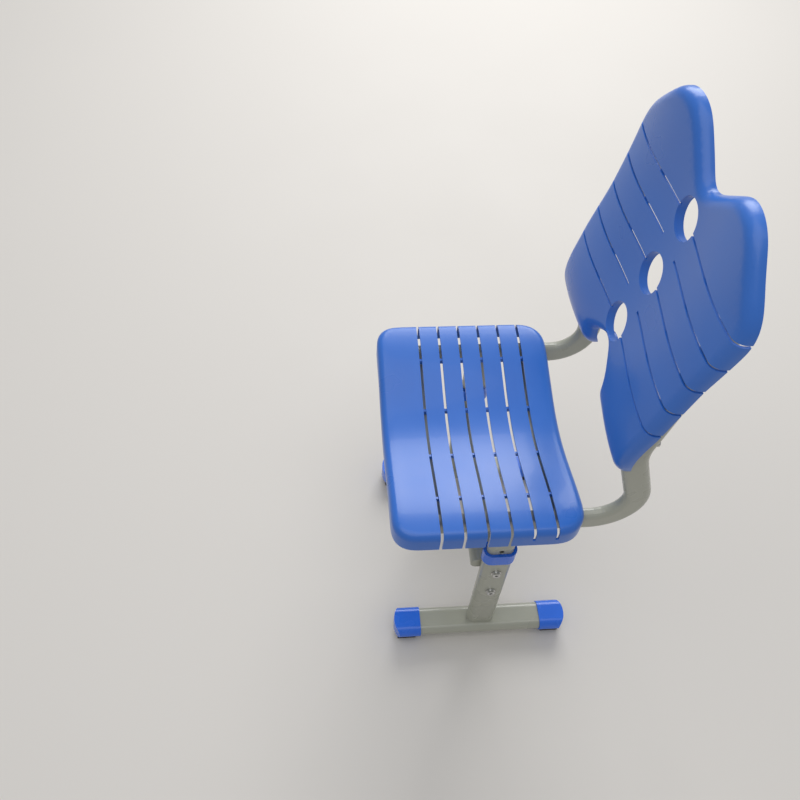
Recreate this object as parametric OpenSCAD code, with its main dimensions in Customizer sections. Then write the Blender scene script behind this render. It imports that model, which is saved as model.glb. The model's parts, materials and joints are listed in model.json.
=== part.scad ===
// Height-adjustable classroom chair: moulded seat and backrest on a frame of flat-oval tube.
// The sitter faces -Y, +X is the sitter's left, +Z is up, and the origin lies on the floor
// under the middle of the chair.

/* [Seat shell] */
// Overall width of the seat shell
seat_w = 420; // [380:1:460]
// Depth of the seat shell, front edge to rear edge
seat_d = 296; // [280:1:340]
// Height of the side rims above the floor, seat in its usual place
seat_h = 440; // [430:1:470]
// Depth of the dish between the side rims
seat_dish = 32; // [20:1:32]
// Height of the side skirts
seat_rim_h = 36; // [30:1:42]
// Height of the front and rear skirts at the middle
seat_edge_h = 24; // [14:1:28]
// Wall of the seat shell
seat_wall = 4; // [3:0.5:5]
// Radius of the two front corners
seat_front_r = 26; // [10:1:40]
// Radius of the two rear corners
seat_rear_r = 38; // [20:1:50]
// Number of slots across the seat
seat_slots = 6; // [3:1:6]
// Width of one seat slot
seat_slot_w = 4.5; // [3:0.5:7]
// Spacing of the seat slots
seat_slot_pitch = 35; // [28:0.5:37]
// Front edge of the seat to the middle of the first slot
seat_first_slot = 73; // [50:1:80]

/* [Backrest shell] */
// Height of the two top lobes above the floor
back_top = 966; // [930:1:1060]
// Height of the two bottom lobes above the floor
back_bottom = 538; // [520:1:550]
// Overall width of the backrest
back_w = 424; // [410:1:460]
// Column axis to the backrest's most forward line, front to rear
back_y = 125.5; // [115:0.5:126]
// Depth of the rim behind the front surface
back_depth = 20; // [14:1:24]
// How far each wing stands forward of the middle
back_wing = 10; // [4:0.5:14]
// Wall of the backrest shell
back_wall = 4; // [3:0.5:5]
// Radius of the three holes
back_hole_r = 29; // [20:1:30]
// Spacing of the slots; the holes lie at every second slot
back_pitch = 47; // [44:0.5:50]
// Number of slots in each wing
back_slots = 5; // [3:1:5]
// Width of one backrest slot
back_slot_w = 4.5; // [3:0.5:6]
// Middle of the backrest to the inner end of a slot
back_slot_x = 26; // [20:1:40]

/* [Side rails and uprights] */
// Section of the rail, long side
rail_long = 40; // [34:1:44]
// Section of the rail, short side
rail_thick = 20; // [16:1:22]
// Wall of the rail
rail_wall = 1.5; // [1:0.1:2]
// Middle of the chair to the middle of a rail, a column and a foot
rail_x = 168; // [155:1:170]
// Top of the side rims down to the rail's top
rail_drop = 14; // [12:1:24]
// Front edge of the seat to the rail's front end
rail_inset = 33; // [20:1:60]
// Column axis to the rearmost point of the rail's centre line
rail_rear_y = 183.5; // [175:0.5:195]
// Radius of the bend under the backrest
rail_bend_r = 60; // [45:1:70]
// Forward lean of the rail above that bend, in degrees
rail_lean_low = 18.5; // [10:0.5:20]
// Straight run between the two bends
rail_run = 73; // [60:1:90]
// Radius of the bend at the backrest's foot
rail_bend2_r = 110; // [80:1:140]
// Backward lean of the upright behind the backrest, in degrees
rail_lean = 9.6; // [8:0.1:12]
// Height of the upright's top end
upright_top = 846; // [780:1:850]
// Section of a cross rail, long side
cross_long = 40; // [30:1:45]
// Section of a cross rail, short side
cross_thick = 20; // [16:1:22]

/* [Legs] */
// Section of foot and outer column, long side
leg_long = 50; // [46:1:56]
// Section of foot and outer column, short side
leg_thick = 25; // [24:1:28]
// Wall of foot and outer column
leg_wall = 1.5; // [1:0.1:1.5]
// Length of a foot over its caps
foot_len = 320; // [280:1:400]
// Length of one foot cap
cap_len = 48; // [40:1:60]
// Wall of a foot cap
cap_wall = 2.5; // [2:0.5:4]
// Height of the rubber pad under a cap
pad_h = 15; // [8:1:20]
// Height of the collar's top above the floor
collar_top = 314; // [290:1:315]
// Height of a collar
collar_h = 28; // [20:1:36]
// Section of the sliding post, long side
post_long = 45; // [40:1:45]
// Section of the sliding post, short side
post_thick = 20; // [17:1:20]
// Wall of the sliding post
post_wall = 1.5; // [1:0.1:2]
// Section of the crossbar, long side, lying level
bar_long = 50; // [40:1:60]
// Height of the crossbar's middle
bar_z = 247; // [200:1:255]

/* [Height setting] */
// Spacing of the holes in the sliding post
index_pitch = 35; // [25:1:35]
// Number of steps that the seat can be lowered
lower_steps = 2; // [1:1:2]
// Number of steps that the seat can be raised
raise_steps = 1; // [0:1:1]
// Height of the lower bolt
bolt_low_z = 181; // [175:1:190]
// Diameter of a height bolt
bolt_d = 8; // [6:1:8]

/* [Screws] */
// Diameter of the seat and backrest screws
screw_d = 5; // [4:0.5:6]

/* [Hidden] */

LEFT = 1;
RIGHT = -1;
FRONT = -1;
REAR = 1;
SIDES = [LEFT, RIGHT];
ENDS = [FRONT, REAR];
$fn = 64;

plastic_blue = [0.24, 0.43, 0.83];
cap_blue = [0.20, 0.42, 0.90];
coat_grey = [0.60, 0.61, 0.54];
chrome = [0.80, 0.80, 0.80];
rubber = [0.12, 0.12, 0.13];

slide_gap = 0.3;      // between faces that slide on each other
seat_gap = 0.3;       // between the shells and the tubes that carry them
bore_gap = 0.2;       // around a bolt in a drilled tube, radial
plug_gap = 0.1;       // around a plug pushed into a tube
facet_gap = 0.3;      // around a plug in the swept rail, whose bore is slightly faceted

// Seat, measured from the column axis at y = 0
seat_front_y = -183.5;
seat_rear_y = seat_front_y + seat_d;
dish_half = seat_w / 2 - 18;
rim_bevel = 8;
rib_t = 4;
seat_rib_h = 8;
boss_r = 9;
screw_x = 60;

// Feet, columns and crossbar
foot_z = pad_h + cap_wall + leg_thick / 2;
foot_top_z = foot_z + leg_thick / 2;
cap_grip = 30;
cap_nose_r = 44;
tube_half = foot_len / 2 - cap_len + cap_grip;
cap_long = leg_long + 2 * cap_wall;
cap_thick = leg_thick + 2 * cap_wall;
pad_len = 34;
pad_w = 38;
collar_wall = 3;
collar_lid = 6;
column_top_z = collar_top - collar_lid;
bar_y = -15;
bar_half = rail_x - leg_thick / 2 + 4;

// Rails and cross rails
rail_top_z = seat_h - rail_drop;
rail_z = rail_top_z - rail_long / 2;
rail_front_y = seat_front_y + rail_inset;
cross_top_z = seat_h - seat_dish - seat_wall - 5;
cross_z = cross_top_z - cross_thick / 2;
cross_front_y = -95;
cross_rear_y = 80;
plug_head = 3;
plug_depth = 14;

// The rail's centre line: level, up through the rear bend, forward, back through the second bend
bend_y = rail_rear_y - rail_bend_r;
bend_z = rail_z + rail_bend_r;
run_y = bend_y + rail_bend_r * cos(rail_lean_low);
run_z = bend_z + rail_bend_r * sin(rail_lean_low);
bend2_y = run_y - rail_run * sin(rail_lean_low) + rail_bend2_r * cos(rail_lean_low);
bend2_z = run_z + rail_run * cos(rail_lean_low) + rail_bend2_r * sin(rail_lean_low);
upright_y = bend2_y - rail_bend2_r * cos(rail_lean);
upright_z = bend2_z + rail_bend2_r * sin(rail_lean);

// Height setting
lower_travel = lower_steps * index_pitch;
raise_travel = raise_steps * index_pitch;
bolt_pitch = 2 * index_pitch;
bolt_heights = [bolt_low_z, bolt_low_z + bolt_pitch];
outboard_x = rail_x + leg_thick / 2;
insert_t = 2;
insert_r = 8.5;
head_d = 13;
head_h = 4.5;
socket_d = 6;
glide_h = 5;
glide_depth = 15;
post_bottom_z = foot_top_z + lower_travel + glide_h + 5.5;

// Backrest, measured from the same axis
spine = [[0, 20], [0.125, 0], [0.306, 13], [0.525, 36], [0.743, 54], [1, 63.5]];
back_cols = 24;
back_rows = 20;
hole_top_z = back_top - 106;
ring_wall = 4;
ring_depth = 12;
back_rib_x = 100;
back_rib_h = 8;
back_screw_z = [612, 740];
back_screw_grip = 5;

// The origin is put under the middle of the whole chair
rear_y = upright_at(upright_top) + rail_long / 2 * cos(rail_lean) + plug_head * sin(rail_lean);
frame_y = -(seat_front_y + rear_y) / 2;

function upright_at(z) = upright_y + (z - upright_z) * tan(rail_lean);

function arc(cx, cy, r, from, to, steps) =
    [for (i = [0:steps]) let (a = from + (to - from) * i / steps) [cx + r * cos(a), cy + r * sin(a)]];

function flip(points) = [for (i = [len(points) - 1:-1:0]) [-points[i][0], points[i][1]]];

module placed() translate([0, frame_y, 0]) children();

module on_side(side) mirror([side == RIGHT ? 1 : 0, 0, 0]) children();

// Flat oval with its long side along x
module oval(long, thick) {
    square([long - thick, thick], center = true);
    for (s = [-1, 1]) translate([s * (long - thick) / 2, 0]) circle(d = thick);
}

module oval_ring(long, thick, wall) {
    difference() {
        oval(long, thick);
        oval(long - 2 * wall, thick - 2 * wall);
    }
}

// Lays a drawing along +Y, its x staying X
module along_y(length) rotate([-90, 0, 0]) linear_extrude(length) children();

// Lays a drawing along +X, its x turned to Y and its y to Z
module along_x(length) rotate([90, 0, 90]) linear_extrude(length) children();

// Stands a drawing up, its x turned to Y
module upright_oval(height) rotate([0, 0, 90]) linear_extrude(height) children();

// ---- Feet ----

module foot_tube() {
    color(coat_grey)
        translate([rail_x, -tube_half, foot_z])
            along_y(2 * tube_half) oval_ring(leg_long, leg_thick, leg_wall);
}

// A cap is a deep cup whose nose is rounded in plan
module foot_cap(end) {
    color(cap_blue)
        translate([rail_x, end * foot_len / 2, foot_z])
            mirror([0, end == FRONT ? 0 : 1, 0])
                difference() {
                    intersection() {
                        along_y(cap_len) oval(cap_long, cap_thick);
                        translate([0, cap_nose_r, -cap_thick])
                            cylinder(r = cap_nose_r, h = 2 * cap_thick, $fn = 96);
                    }
                    translate([0, cap_len - cap_grip, 0])
                        along_y(cap_len) oval(leg_long + 2 * plug_gap, leg_thick + 2 * plug_gap);
                }
}

module foot_pad(end) {
    pad_y = end * (foot_len / 2 - cap_len / 2);
    difference() {
        translate([rail_x - pad_w / 2, pad_y - pad_len / 2, 0]) cube([pad_w, pad_len, foot_z]);
        translate([rail_x, -foot_len, foot_z])
            along_y(2 * foot_len) oval(cap_long + 2 * plug_gap, cap_thick + 2 * plug_gap);
    }
}

module foot_pads() {
    color(rubber)
        placed()
            for (side = SIDES, end = ENDS) on_side(side) foot_pad(end);
}

module left_foot_tube() placed() on_side(LEFT) foot_tube();
module right_foot_tube() placed() on_side(RIGHT) foot_tube();
module left_front_cap() placed() on_side(LEFT) foot_cap(FRONT);
module left_rear_cap() placed() on_side(LEFT) foot_cap(REAR);
module right_front_cap() placed() on_side(RIGHT) foot_cap(FRONT);
module right_rear_cap() placed() on_side(RIGHT) foot_cap(REAR);

// ---- Outer columns and crossbar ----

// Level cylinders from the column's middle outwards, one at each height
module outboard_bores(heights, d) {
    for (z = heights)
        translate([rail_x, 0, z]) rotate([0, 90, 0]) cylinder(d = d, h = leg_thick);
}

module column() {
    color(coat_grey)
        difference() {
            translate([rail_x, 0, foot_top_z])
                upright_oval(column_top_z - foot_top_z) oval_ring(leg_long, leg_thick, leg_wall);
            outboard_bores(bolt_heights, bolt_d + 2 * bore_gap);
        }
}

// Closed at both ends by welded plates, because it stands a little forward of the columns
module crossbar() {
    color(coat_grey)
        placed()
            difference() {
                translate([-bar_half, bar_y, bar_z])
                    difference() {
                        along_x(2 * bar_half) oval(bar_long, leg_thick);
                        translate([leg_wall, 0, 0])
                            along_x(2 * (bar_half - leg_wall))
                                oval(bar_long - 2 * leg_wall, leg_thick - 2 * leg_wall);
                    }
                for (side = SIDES)
                    on_side(side)
                        translate([rail_x, 0, foot_top_z]) upright_oval(column_top_z) oval(leg_long, leg_thick);
            }
}

module collar() {
    color(cap_blue)
        difference() {
            translate([rail_x, 0, collar_top - collar_h])
                upright_oval(collar_h) oval(leg_long + 2 * collar_wall, leg_thick + 2 * collar_wall);
            translate([rail_x, 0, collar_top - collar_h - 1])
                upright_oval(collar_h - collar_lid + 1)
                    oval(leg_long + 2 * plug_gap, leg_thick + 2 * plug_gap);
            translate([rail_x, 0, collar_top - collar_h])
                upright_oval(collar_h + 1) oval(post_long + 2 * slide_gap, post_thick + 2 * slide_gap);
        }
}

module left_column() placed() on_side(LEFT) column();
module right_column() placed() on_side(RIGHT) column();
module left_collar() placed() on_side(LEFT) collar();
module right_collar() placed() on_side(RIGHT) collar();

// ---- Height bolts and their threaded inserts ----

// The tip stops a sliding gap short of the post, so that the post can move past it
module height_bolt(z) {
    tip_x = rail_x + post_thick / 2 + slide_gap;
    head_x = outboard_x + insert_t;
    difference() {
        translate([0, 0, z]) rotate([0, 90, 0]) {
            translate([0, 0, tip_x]) cylinder(d = bolt_d, h = head_x - tip_x);
            translate([0, 0, head_x]) cylinder(d = head_d, h = head_h);
        }
        translate([head_x + head_h / 2, 0, z]) rotate([0, 90, 0]) cylinder(d = socket_d, h = head_h, $fn = 6);
    }
}

module height_bolts() {
    color(chrome)
        for (z = bolt_heights) height_bolt(z);
}

module bolt_insert(z) {
    translate([outboard_x, 0, z]) rotate([0, 90, 0])
        difference() {
            cylinder(r = insert_r, h = insert_t);
            translate([0, 0, -1]) cylinder(d = bolt_d + 2 * plug_gap, h = insert_t + 2);
        }
}

module bolt_inserts() {
    color(chrome)
        placed()
            for (side = SIDES, z = bolt_heights) on_side(side) bolt_insert(z);
}

module left_height_bolts() placed() on_side(LEFT) height_bolts();
module right_height_bolts() placed() on_side(RIGHT) height_bolts();

// ---- Sliding posts with their row of holes ----

index_heights = [for (i = [-raise_steps:lower_steps + 2]) bolt_low_z + i * index_pitch];

module rail_envelope() {
    translate([rail_x, rail_front_y, rail_z])
        along_y(bend_y - rail_front_y) rotate([0, 0, 90]) oval(rail_long, rail_thick);
}

module post() {
    color(coat_grey)
        difference() {
            translate([rail_x, 0, post_bottom_z])
                upright_oval(rail_z - post_bottom_z) oval_ring(post_long, post_thick, post_wall);
            rail_envelope();
            outboard_bores(index_heights, bolt_d + 2 * bore_gap);
        }
}

module post_glide() {
    translate([rail_x, 0, post_bottom_z - glide_h])
        upright_oval(glide_h)
            oval(leg_long - 2 * leg_wall - 2 * slide_gap, leg_thick - 2 * leg_wall - 2 * slide_gap);
    translate([rail_x, 0, post_bottom_z])
        upright_oval(glide_depth)
            oval(post_long - 2 * post_wall - 2 * plug_gap, post_thick - 2 * post_wall - 2 * plug_gap);
}

module post_glides() {
    color(rubber)
        placed()
            for (side = SIDES) on_side(side) post_glide();
}

module left_post() placed() on_side(LEFT) post();
module right_post() placed() on_side(RIGHT) post();

// ---- Side rails: one bent tube from under the seat up behind the backrest ----

// The centre line: level run, rear bend, forward run, second bend, upright
function rail_arc(y, z, r, from, to, steps) =
    [for (i = [0:steps]) let (a = from + (to - from) * i / steps) [rail_x, y + r * cos(a), z + r * sin(a)]];

function upper_path() =
    concat(
        [[rail_x, run_y, run_z]],
        rail_arc(bend2_y, bend2_z, rail_bend2_r, 180 + rail_lean_low, 180 - rail_lean, 6),
        [[rail_x, upright_at(upright_top), upright_top]]);

function rail_path() =
    concat(
        [[rail_x, rail_front_y, rail_z]],
        rail_arc(bend_y, bend_z, rail_bend_r, -90, rail_lean_low - 6, 13),
        upper_path());

function oval_points(long, thick) =
    let (c = (long - thick) / 2)
    concat(arc(0, c, thick / 2, 0, 180, 9), arc(0, -c, thick / 2, 180, 360, 9));

function unit(v) = v / norm(v);

// The section at step i of the path, square to it, with its short side level
function ring(path, i, section) =
    let (last = len(path) - 1,
         a = unit(path[i] - path[max(i - 1, 0)] + (i == 0 ? path[1] - path[0] : [0, 0, 0])),
         b = unit(path[min(i + 1, last)] - path[i] + (i == last ? path[last] - path[last - 1] : [0, 0, 0])),
         t = unit(a + b),
         w = cross([1, 0, 0], t))
    [for (p = section) path[i] + [p[0], 0, 0] + p[1] * w];

// Side faces between the rings of one surface, whose first point is at from
function walls(from, count, rings, inside) =
    [for (r = [0:rings - 2], c = [0:count - 1])
        let (a = from + r * count + c,
             b = from + r * count + (c + 1) % count)
        inside ? [a + count, b + count, b, a] : [a, b, b + count, a + count]];

module swept_solid(path, grow) {
    section = oval_points(rail_long + 2 * grow, rail_thick + 2 * grow);
    count = len(section);
    rings = len(path);
    points = [for (i = [0:rings - 1]) each ring(path, i, section)];
    ends = [[for (c = [0:count - 1]) count - 1 - c], [for (c = [0:count - 1]) (rings - 1) * count + c]];
    polyhedron(points, concat(walls(0, count, rings, false), ends));
}

module swept_tube(path) {
    outer = oval_points(rail_long, rail_thick);
    inner = oval_points(rail_long - 2 * rail_wall, rail_thick - 2 * rail_wall);
    count = len(outer);
    rings = len(path);
    total = rings * count;
    last = total - count;
    points = concat(
        [for (i = [0:rings - 1]) each ring(path, i, outer)],
        [for (i = [0:rings - 1]) each ring(path, i, inner)]);
    ends = [for (c = [0:count - 1], e = [0, 1])
        let (d = (c + 1) % count)
        e == 0 ? [d, c, total + c, total + d] : [last + c, last + d, total + last + d, total + last + c]];
    polyhedron(points, concat(walls(0, count, rings, false), walls(total, count, rings, true), ends));
}

// Places children at height z on the upright, with +Z along its lean
module at_upright(z) {
    translate([rail_x, upright_at(z), z]) rotate([-rail_lean, 0, 0]) children();
}

module back_screw_bores(d) {
    for (z = back_screw_z)
        at_upright(z)
            translate([0, -rail_long / 2 - back_screw_grip, 0])
                rotate([-90, 0, 0]) cylinder(d = d, h = rail_long + 2 * back_screw_grip);
}

module rail() {
    color(coat_grey)
        difference() {
            swept_tube(rail_path());
            back_screw_bores(screw_d + 2 * bore_gap);
        }
}

module rail_plug(length) {
    rotate([0, 0, 90]) linear_extrude(length)
        oval(rail_long - 2 * rail_wall - 2 * facet_gap, rail_thick - 2 * rail_wall - 2 * facet_gap);
}

module rail_front_plug() {
    translate([rail_x, rail_front_y, rail_z]) rotate([90, 0, 0]) {
        linear_extrude(plug_head) rotate([0, 0, 90]) oval(rail_long, rail_thick);
        translate([0, 0, -plug_depth]) rail_plug(plug_depth);
    }
}

module rail_front_plugs() {
    color(rubber)
        placed()
            for (side = SIDES) on_side(side) rail_front_plug();
}

module upright_plug() {
    at_upright(upright_top) {
        upright_oval(plug_head) oval(rail_long, rail_thick);
        translate([0, 0, -plug_depth]) rail_plug(plug_depth);
    }
}

module upright_plugs() {
    color(rubber)
        placed()
            for (side = SIDES) on_side(side) upright_plug();
}

module left_rail() placed() on_side(LEFT) rail();
module right_rail() placed() on_side(RIGHT) rail();

// ---- Cross rails between the side rails ----

module cross_rail(y) {
    color(coat_grey)
        placed()
            difference() {
                translate([-rail_x, y, cross_z])
                    along_x(2 * rail_x) oval_ring(cross_long, cross_thick, rail_wall);
                for (side = SIDES) on_side(side) rail_envelope();
                for (side = SIDES)
                    translate([side * screw_x, y, cross_z - cross_thick])
                        cylinder(d = screw_d + 2 * bore_gap, h = 2 * cross_thick);
            }
}

module front_cross_rail() cross_rail(cross_front_y);
module rear_cross_rail() cross_rail(cross_rear_y);

// ---- Seat shell ----

function dish_drop(x) =
    abs(x) >= dish_half ? 0 : seat_dish * (0.5 + 0.5 * cos(180 * x / dish_half));

function seat_top(x) = seat_h - dish_drop(x);

seat_steps = 40;

// Upper line of the seat from left to right, lowered by a wall
function seat_line(wall) =
    let (half = seat_w / 2 - wall)
    concat([[-half, seat_h - rim_bevel - wall / 2], [-half + rim_bevel, seat_h - wall]],
        [for (i = [0:seat_steps]) let (x = -dish_half + 2 * dish_half * i / seat_steps) [x, seat_top(x) - wall]],
        [[half - rim_bevel, seat_h - wall], [half, seat_h - rim_bevel - wall / 2]]);

// Lower edge of the skirts, which follows the dish at the front and rear
function skirt_line() =
    let (half = seat_w / 2, side_z = seat_h - seat_rim_h, inner = dish_half - 6)
    concat([[half, side_z], [inner, side_z]],
        [for (i = [1:seat_steps - 1]) let (x = inner - 2 * inner * i / seat_steps)
            [x, min(seat_top(x) - seat_edge_h, side_z)]],
        [[-inner, side_z], [-half, side_z]]);

module seat_plan(inset) {
    half = seat_w / 2 - inset;
    front = seat_front_y + inset;
    rear = seat_rear_y - inset;
    front_r = seat_front_r - inset;
    rear_r = seat_rear_r - inset;
    polygon(concat(
        arc(half - front_r, front + front_r, front_r, -90, 0, 10),
        arc(half - rear_r, rear - rear_r, rear_r, 0, 90, 14),
        arc(-half + rear_r, rear - rear_r, rear_r, 90, 180, 14),
        arc(-half + front_r, front + front_r, front_r, 180, 270, 10)));
}

module seat_block(points, inset) {
    intersection() {
        translate([0, seat_rear_y + 1, 0]) rotate([90, 0, 0]) linear_extrude(seat_d + 2) polygon(points);
        translate([0, 0, seat_h - 150]) linear_extrude(200) seat_plan(inset);
    }
}

module seat_skin() {
    deep = seat_h - 120;
    difference() {
        seat_block(concat(seat_line(0), skirt_line()), 0);
        seat_block(concat(seat_line(seat_wall), [[seat_w / 2, deep], [-seat_w / 2, deep]]), seat_wall);
    }
}

// The rear two slots stop part of the way down the side skirts
module seat_slot_cuts() {
    for (i = [0:seat_slots - 1]) {
        y = seat_front_y + seat_first_slot + i * seat_slot_pitch;
        low = i < seat_slots - 2 ? seat_h - 100 : seat_h - seat_rim_h + 14;
        translate([-seat_w / 2 - 1, y - seat_slot_w / 2, low]) cube([seat_w + 2, seat_slot_w, 200]);
        translate([-dish_half + 10, y - seat_slot_w / 2, seat_h - 100])
            cube([2 * dish_half - 20, seat_slot_w, 200]);
    }
}

module seat_ribs() {
    for (x = [-136, -45, 45, 136])
        translate([x - rib_t / 2, seat_front_y + 20, seat_top(x) - seat_wall - seat_rib_h])
            cube([rib_t, seat_d - 40, seat_rib_h + 1]);
}

// Places children at each of the four seat screws
module at_seat_screws() {
    for (side = SIDES, y = [cross_front_y, cross_rear_y]) translate([side * screw_x, y, 0]) children();
}

module seat_boss() {
    low = cross_top_z + seat_gap;
    translate([0, 0, low]) cylinder(r = boss_r, h = seat_top(screw_x) - seat_wall / 2 - low);
}

module seat_shell() {
    color(plastic_blue)
        placed()
            difference() {
                union() {
                    difference() {
                        seat_skin();
                        seat_slot_cuts();
                    }
                    seat_ribs();
                    at_seat_screws() seat_boss();
                }
                at_seat_screws()
                    translate([0, 0, cross_z])
                        cylinder(d = screw_d + 2 * plug_gap, h = seat_top(screw_x) - seat_wall - cross_z);
                // The rails leave through the rear skirt
                for (side = SIDES)
                    on_side(side)
                        translate([rail_x - rail_thick / 2 - 2, seat_rear_y - 30, rail_z - rail_long])
                            cube([rail_thick + 4, 40, 1.5 * rail_long + 1]);
            }
}

module seat_screws() {
    head_z = cross_z - cross_thick / 2;
    tip_z = seat_top(screw_x) - seat_wall - 1;
    color(chrome)
        placed()
            at_seat_screws() {
                translate([0, 0, head_z - 3]) cylinder(d = 2 * screw_d, h = 3);
                translate([0, 0, head_z - 1]) cylinder(d = screw_d, h = tip_z - head_z + 1);
            }
}

// ---- Backrest shell ----

function span_of(p, v, i = 0) = i < len(p) - 2 && v > p[i + 1][0] ? span_of(p, v, i + 1) : i;

function slope_at(p, i) =
    let (a = max(i - 1, 0), b = min(i + 1, len(p) - 1))
    (p[b][1] - p[a][1]) / (p[b][0] - p[a][0]);

// Smooth curve through the points p
function curve(p, v) =
    let (i = span_of(p, v), h = p[i + 1][0] - p[i][0], t = (v - p[i][0]) / h)
    (2 * t * t * t - 3 * t * t + 1) * p[i][1] + (t * t * t - 2 * t * t + t) * h * slope_at(p, i)
    + (3 * t * t - 2 * t * t * t) * p[i + 1][1] + (t * t * t - t * t) * h * slope_at(p, i + 1);

// Front surface on the middle line, and its lean from upright
function spine_y(z) = back_y + curve(spine, (z - back_bottom) / (back_top - back_bottom));
function spine_lean(z) = atan((spine_y(z + 5) - spine_y(z - 5)) / 10);

// A wing comes forward towards its crest and falls away again near the rim
wing_crest = 150;
function wing_y(x) =
    let (a = abs(x))
    -back_wing * (0.5 - 0.5 * cos(180 * min(a, wing_crest) / wing_crest))
    + pow(max(a - wing_crest, 0), 2) / 700;

// A curved slab between two depths behind the front surface
module back_sheet(near, far) {
    reach = back_w / 2 + 10;
    xs = [for (i = [0:back_cols]) reach * (2 * i / back_cols - 1)];
    zs = [for (j = [0:back_rows]) back_bottom - 10 + (back_top - back_bottom + 20) * j / back_rows];
    n = len(xs);
    total = n * len(zs);
    points = [for (d = [near, far], z = zs, x = xs) [x, spine_y(z) + wing_y(x) + d, z]];
    top = back_rows * n;
    faces = concat(
        [for (j = [0:back_rows - 1], i = [0:back_cols - 1])
            let (a = j * n + i) [a, a + n, a + n + 1, a + 1]],
        [for (j = [0:back_rows - 1], i = [0:back_cols - 1])
            let (a = total + j * n + i) [a + 1, a + n + 1, a + n, a]],
        [for (i = [0:back_cols - 1]) [i, i + 1, total + i + 1, total + i]],
        [for (i = [0:back_cols - 1]) [top + i + 1, top + i, total + top + i, total + top + i + 1]],
        [for (j = [0:back_rows - 1]) let (a = j * n) [a + n, a, total + a, total + a + n]],
        [for (j = [0:back_rows - 1]) let (a = j * n + n - 1) [a, a + n, total + a + n, total + a]]);
    polyhedron(points, faces);
}

// Half of the front view, from the bottom notch round the outer side to the top notch
function half_outline(inset) =
    let (half = back_w / 2, sides = half - 11)
    concat(
        [[8, back_bottom + 98 + inset]],
        arc(half - 117, back_bottom + 46, 46 - inset, 155, 265, 8),
        arc(half - 74, back_bottom + 56, 56 - inset, 272, 350, 8),
        [[sides - 1 - inset, back_bottom + 131], [sides - inset, back_bottom + 224]],
        arc(half - 70, back_top - 108, 70 - inset, -8, 46, 7),
        arc(half - 104, back_top - 66, 66 - inset, 52, 135, 9),
        [[8, back_top - 62 - inset]]);

module back_outline(inset) {
    half = half_outline(inset);
    translate([0, 400, 0]) rotate([90, 0, 0]) linear_extrude(500) polygon(concat(half, flip(half)));
}

module back_skin() {
    difference() {
        intersection() {
            back_sheet(0, back_depth);
            back_outline(0);
        }
        intersection() {
            back_sheet(back_wall, back_depth + 10);
            back_outline(back_wall);
        }
    }
}

slot_heights = [for (i = [0:back_slots - 1]) hole_top_z - i * back_pitch];
hole_heights = [for (i = [0:2]) hole_top_z - 2 * i * back_pitch];

// Level slots that run out through the rim
module back_slot_cuts() {
    for (side = SIDES, z = slot_heights)
        on_side(side)
            translate([back_slot_x, 0, z - back_slot_w / 2]) cube([back_w, 300, back_slot_w]);
}

// Places children square to the shell on its middle line, +Z pointing to the rear
module at_hole(z) {
    translate([0, spine_y(z), z]) rotate([-spine_lean(z), 0, 0]) rotate([-90, 0, 0]) children();
}

module back_ribs() {
    low = back_bottom + 30;
    for (side = SIDES)
        intersection() {
            translate([side * back_rib_x - rib_t / 2, 0, low]) cube([rib_t, 300, back_top - 60 - low]);
            back_sheet(back_wall / 2, back_wall + back_rib_h);
        }
}

module back_bosses() {
    intersection() {
        for (side = SIDES, z = back_screw_z)
            on_side(side) at_upright(z) rotate([90, 0, 0]) cylinder(r = boss_r, h = 80);
        back_sheet(back_wall / 2, 80);
    }
}

module backrest() {
    color(plastic_blue)
        placed()
            difference() {
                union() {
                    difference() {
                        back_skin();
                        back_slot_cuts();
                    }
                    back_ribs();
                    back_bosses();
                    for (z = hole_heights)
                        at_hole(z) translate([0, 0, 1]) cylinder(r = back_hole_r + ring_wall, h = ring_depth);
                }
                for (z = hole_heights)
                    at_hole(z) translate([0, 0, -50]) cylinder(r = back_hole_r, h = 150);
                for (side = SIDES)
                    on_side(side) {
                        swept_solid(upper_path(), seat_gap);
                        back_screw_bores(screw_d + 2 * plug_gap);
                    }
            }
}

module back_screws() {
    reach = rail_long + back_screw_grip - 0.5;
    color(chrome)
        placed()
            for (side = SIDES, z = back_screw_z)
                on_side(side)
                    at_upright(z) translate([0, rail_long / 2, 0]) rotate([-90, 0, 0]) {
                        translate([0, 0, -reach]) cylinder(d = screw_d, h = reach);
                        cylinder(d = 2 * screw_d, h = 3);
                    }
}

left_foot_tube();
right_foot_tube();
left_front_cap();
left_rear_cap();
right_front_cap();
right_rear_cap();
foot_pads();
left_column();
right_column();
crossbar();
left_collar();
right_collar();
left_height_bolts();
right_height_bolts();
bolt_inserts();
left_post();
right_post();
post_glides();
left_rail();
right_rail();
rail_front_plugs();
upright_plugs();
front_cross_rail();
rear_cross_rail();
seat_shell();
seat_screws();
backrest();
back_screws();
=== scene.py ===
"""Looks of a height-adjustable classroom chair, built around its packed construction model.

The construction model carries every piece at its real size. This script adds the moulded seat and
backrest with their rounded rims, dresses every piece in a procedural finish and sets the stage.
"""

import json
import logging
import math
from dataclasses import dataclass, field
from enum import Enum

import bmesh
import bpy
from mathutils import Matrix, Vector

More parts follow.
